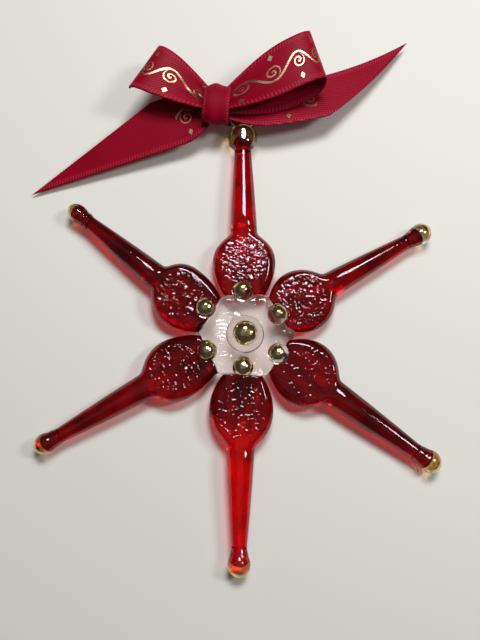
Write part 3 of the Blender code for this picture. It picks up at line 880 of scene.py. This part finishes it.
def loop_place(side):
    """Where a loop of the bow lies: over its fold and back below."""
    angle, reach, rise, half_height, knot_angle, fold_angle, beside = BOW_LOOPS[side]

    def place_at(u, v):
        turn = math.pi * (0.02 + 0.96 * u)
        out = math.sin(turn)
        level = math.copysign(abs(math.cos(turn)) ** LOOP_BULGE, math.cos(turn)) * out
        width = gathered(reach * out, LOOP_WIDENING)
        across = heading(knot_angle + (fold_angle - knot_angle) * out)
        folds = pleat(v, reach * out, PLEAT_REACH, 0.6 + u * 1.4)
        height = rise * out + LOOP_CROWN * half_height * level + folds
        aside = beside * 2 * max(-level, 0.0)
        place = heading(angle) * (reach * out) + across * (v * width) + Vector((0, aside, height))
        return KNOT + place * MM, reach * 2 * u
    return place_at


def tail_place(side):
    """Where a tail of the bow lies, down to its slanting end."""
    first, last, minus, plus, widening, drop, tilt = BOW_TAILS[side]
    longest = max(minus, plus)
    plus_side = 1 if math.cos(math.radians(first)) > 0 else -1

    def place_at(u, v):
        distance = u * (minus + (plus - minus) * (v + 1) / 2)
        angle = first + (last - first) * distance / longest
        width = gathered(distance, widening)
        across = heading(angle + 90 * plus_side)
        lean = math.radians(tilt) * ease(distance / widening)
        height = -TAIL_ROOT_DROP - drop * distance / longest + v * width * math.sin(lean)
        height += pleat(v, distance, widening * 0.9, 1.0)
        place = heading(angle) * distance + across * (v * width * math.cos(lean))
        return KNOT + (place + Vector((0, 0, height))) * MM, distance
    return place_at


def knot_place(u, v):
    """Where the ribbon wraps round the knot, in pleats."""
    turn = 2 * math.pi * u
    belly = 1 - KNOT_BELLY * v * v
    folds = 1 + KNOT_FOLDS * math.cos(v * 5.2 + 1.1 * math.sin(turn) + 0.8)
    across = heading(KNOT_TURN)
    along = heading(KNOT_TURN + 90)
    place = across * (v * KNOT_SIZE[0] / 2) \
        + along * (math.cos(turn) * KNOT_SIZE[1] / 2 * belly * folds) \
        + Vector((0, 0, math.sin(turn) * KNOT_SIZE[2] / 2 * belly * folds))
    return KNOT + place * MM, KNOT_LENGTH * u


def tie_place(u, v):
    """Where the gathered ribbon runs from the knot round the glass of the eye and back."""
    glass = EYE_CENTRE + Vector((-EYE_RADIUS, 0, 0))
    turn = math.radians(TIE_START - TIE_TURN * u)
    around = EYE_WIRE_RADIUS / MM + TIE_STAND_OFF + TIE_FOLDS * math.cos(v * 9.0)
    place = Vector((math.cos(turn) * around, v * TIE_HALF_WIDTH, math.sin(turn) * around))
    return glass + place * MM, TIE_LENGTH * u


def calculate(nodes, links, operation, *values):
    """One step of arithmetic on numbers and sockets."""
    step = nodes.new("ShaderNodeMath")
    step.operation = operation
    for socket, value in zip(step.inputs, values):
        if isinstance(value, (int, float)):
            socket.default_value = value
        else:
            links.new(value, socket)
    return step.outputs["Value"]


def foil_print(nodes, links, along, across):
    """Gold foil: a running vine with a spiral in each bend and small diamonds, then a bare part."""
    def do(operation, *values):
        return calculate(nodes, links, operation, *values)

    phase = do("MULTIPLY", along, 2 * math.pi / VINE_PITCH)
    vine = do("MULTIPLY_ADD", do("SINE", phase), VINE_SWING, RIBBON_MIDDLE)
    slope = do("ABSOLUTE", do("COSINE", phase))
    off_vine = do("ABSOLUTE", do("SUBTRACT", across, vine))
    line = do("LESS_THAN", off_vine, do("MULTIPLY_ADD", slope, *VINE_LINE))
    half = VINE_PITCH / 2
    bend = do("FLOOR", do("DIVIDE", along, half))
    upward = do("MULTIPLY_ADD", do("PINGPONG", bend, 1.0), -2.0, 1.0)
    beside = do("SUBTRACT", do("SUBTRACT", along, do("MULTIPLY", bend, half)), half / 2)
    over = do("MULTIPLY", do("SUBTRACT", across, RIBBON_MIDDLE), upward)
    out = do("SQRT", do("ADD", do("MULTIPLY", beside, beside), do("MULTIPLY", over, over)))
    turn = do("DIVIDE", do("ARCTAN2", over, beside), 2 * math.pi)
    winding = do("FRACT", do("SUBTRACT", do("DIVIDE", out, SPIRAL_PITCH), turn))
    off_spiral = do("ABSOLUTE", do("SUBTRACT", winding, 0.5))
    curl = do("MULTIPLY", do("LESS_THAN", off_spiral, SPIRAL_LINE), do("LESS_THAN", out, SPIRAL_RADIUS))
    off_gem = do("MULTIPLY", do("ABSOLUTE", do("ADD", over, GEM_PLACE)), GEM_SLENDERNESS)
    gem = do("LESS_THAN", do("ADD", do("ABSOLUTE", beside), off_gem), GEM_HALF_LENGTH)
    drawing = do("MAXIMUM", do("MAXIMUM", line, curl), gem)
    printed = do("LESS_THAN", do("MODULO", along, PRINT_REPEAT), PRINT_LENGTH)
    inside = do("LESS_THAN", do("ABSOLUTE", do("SUBTRACT", across, RIBBON_MIDDLE)), PRINT_HALF_WIDTH)
    return do("MULTIPLY", drawing, do("MULTIPLY", printed, inside))


def satin(name, printed):
    """Crimson satin: fine slanting ribs with a sheen, stitched selvages and gold foil printing."""
    material, nodes, links, shader = new_material(name)

    def do(operation, *values):
        return calculate(nodes, links, operation, *values)

    layout = nodes.new("ShaderNodeUVMap")
    parts = nodes.new("ShaderNodeSeparateXYZ")
    links.new(layout.outputs["UV"], parts.inputs["Vector"])
    along = do("MULTIPLY", parts.outputs["X"], RIBBON_WIDTH / MM)
    across = do("MULTIPLY", parts.outputs["Y"], RIBBON_WIDTH / MM)
    rib = do("SINE", do("ADD", do("MULTIPLY", along, RIB_SLANT * 2 * math.pi / RIB_PITCH),
                        do("MULTIPLY", across, 2 * math.pi / RIB_PITCH)))
    from_edge = do("MINIMUM", across, do("SUBTRACT", RIBBON_WIDTH / MM, across))
    hem = do("MULTIPLY", do("GREATER_THAN", from_edge, SELVAGE[0]),
             do("LESS_THAN", from_edge, SELVAGE[1]))
    wave = do("SINE", do("ADD", do("MULTIPLY", along, 2 * math.pi / STITCH_PITCH),
                         do("MULTIPLY", from_edge, STITCH_SLANT)))
    stitches = do("MULTIPLY", hem, do("GREATER_THAN", wave, STITCH_GAP))
    place = nodes.new("ShaderNodeTexCoord")
    shade = nodes.new("ShaderNodeTexNoise")
    shade.inputs["Scale"].default_value = 90.0
    shade.inputs["Detail"].default_value = 3.0
    links.new(place.outputs["Object"], shade.inputs["Vector"])
    body = nodes.new("ShaderNodeMix")
    body.data_type = "RGBA"
    body.inputs["A"].default_value = (0.21, 0.0003, 0.010, 1.0)
    body.inputs["B"].default_value = (0.36, 0.0008, 0.022, 1.0)
    tone = do("MULTIPLY_ADD", rib, 0.22, shade.outputs["Fac"])
    links.new(tone, body.inputs["Factor"])
    thread = nodes.new("ShaderNodeMix")
    thread.data_type = "RGBA"
    thread.inputs["B"].default_value = (0.58, 0.04, 0.09, 1.0)
    links.new(body.outputs["Result"], thread.inputs["A"])
    links.new(do("MULTIPLY", stitches, 0.5), thread.inputs["Factor"])
    colour = thread.outputs["Result"]
    dull = do("MULTIPLY_ADD", rib, 0.05, 0.40 if printed else 0.55)
    height = do("MULTIPLY_ADD", stitches, 2.4, rib)
    if printed:
        foil = foil_print(nodes, links, along, across)
        gilt = nodes.new("ShaderNodeMix")
        gilt.data_type = "RGBA"
        gilt.inputs["B"].default_value = (0.46, 0.34, 0.20, 1.0)
        links.new(colour, gilt.inputs["A"])
        links.new(foil, gilt.inputs["Factor"])
        colour = gilt.outputs["Result"]
        links.new(foil, shader.inputs["Metallic"])
        dull = do("MULTIPLY_ADD", foil, -0.06, dull)
        height = do("MULTIPLY", height, do("MULTIPLY_ADD", foil, -0.7, 1.0))
    links.new(colour, shader.inputs["Base Color"])
    links.new(dull, shader.inputs["Roughness"])
    shader.inputs["Sheen Weight"].default_value = 0.06
    shader.inputs["Sheen Roughness"].default_value = 0.35
    shader.inputs["Specular IOR Level"].default_value = 0.1
    shader.inputs["Sheen Tint"].default_value = (1.0, 0.35, 0.45, 1.0)
    bump_from(nodes, links, shader, height, 0.000022)
    return material


# name, steps along and across, its place, where its printing starts, whether its faces need turning
strips = [strip("bow_loop_right", 110, 22, loop_place("right"), 0.0, False),
          strip("bow_loop_left", 90, 22, loop_place("left"), 60.0, True),
          strip("bow_tail_right", 90, 22, tail_place("right"), 180.0, False),
          strip("bow_tail_left", 80, 22, tail_place("left"), 255.0, True),
          strip("bow_knot", 60, 20, knot_place, 300.0, True),
          strip("bow_tie", 36, 12, tie_place, 340.0, False)]
bow = strips[0]
bow.name = "satin_bow"
pick(bow)
for piece in strips[1:]:
    piece.select_set(True)
bpy.ops.object.join()
cloth = bow.modifiers.new("cloth", "SOLIDIFY")
cloth.thickness = RIBBON_THICKNESS
cloth.offset = 0.0
cloth.material_offset = 1
settle(bow, "ribbon_bow", "crimson_satin", satin("printed_satin", True), satin("satin_back", False))
apply_all(bow)


# Floor
# A plain pale surface under the ornament.
bpy.ops.object.select_all(action="DESELECT")
bpy.ops.mesh.primitive_plane_add(size=2.0, location=(0, 0, 0))
floor = bpy.context.active_object
floor.name = "floor"
floor_paint, _, _, shader = new_material("floor_paint")
shader.inputs["Base Color"].default_value = (0.84, 0.82, 0.77, 1.0)
shader.inputs["Roughness"].default_value = 0.7
floor.data.materials.append(floor_paint)


# Light
# One soft lamp beyond the top of the ornament, a smaller one on its right, a wide dim one overhead
# and a dark room. Their sizes and places are in metres, their power in watts.
def soft_lamp(name, place, width, length, power):
    """A flat lamp that shines on the middle of the ornament."""
    bpy.ops.object.select_all(action="DESELECT")
    bpy.ops.object.light_add(type="AREA", location=place)
    lamp = bpy.context.active_object
    lamp.name = name
    lamp.data.shape = "RECTANGLE"
    lamp.data.size = width
    lamp.data.size_y = length
    lamp.data.energy = power
    lamp.rotation_euler = (-Vector(place)).to_track_quat("-Z", "Y").to_euler()


soft_lamp("lamp_above_top", (0.05, 0.245, 0.44), 0.18, 0.13, 1.7)
soft_lamp("lamp_right", (0.31, 0.08, 0.37), 0.08, 0.10, 0.6)
soft_lamp("lamp_overhead", (0.0, 0.05, 0.85), 0.9, 0.9, 0.3)
world = bpy.data.worlds.new("room")
bpy.context.scene.world = world
world.use_nodes = True
background = world.node_tree.nodes["Background"]
background.inputs["Color"].default_value = (1.0, 0.985, 0.96, 1.0)
background.inputs["Strength"].default_value = 0.06
bpy.context.scene.view_settings.view_transform = "Standard"


# Camera
# Held over the ornament, eight degrees from straight down.
CAMERA_PLACE = (-0.00125, -0.02169, 0.18625)
CAMERA_TILT = 8
CAMERA_LENS = 41.06

bpy.ops.object.camera_add(location=CAMERA_PLACE, rotation=(math.radians(CAMERA_TILT), 0, 0))
camera = bpy.context.active_object
camera.data.lens = CAMERA_LENS
camera.data.sensor_width = 36.0
camera.data.clip_start = 0.01
bpy.context.scene.camera = camera
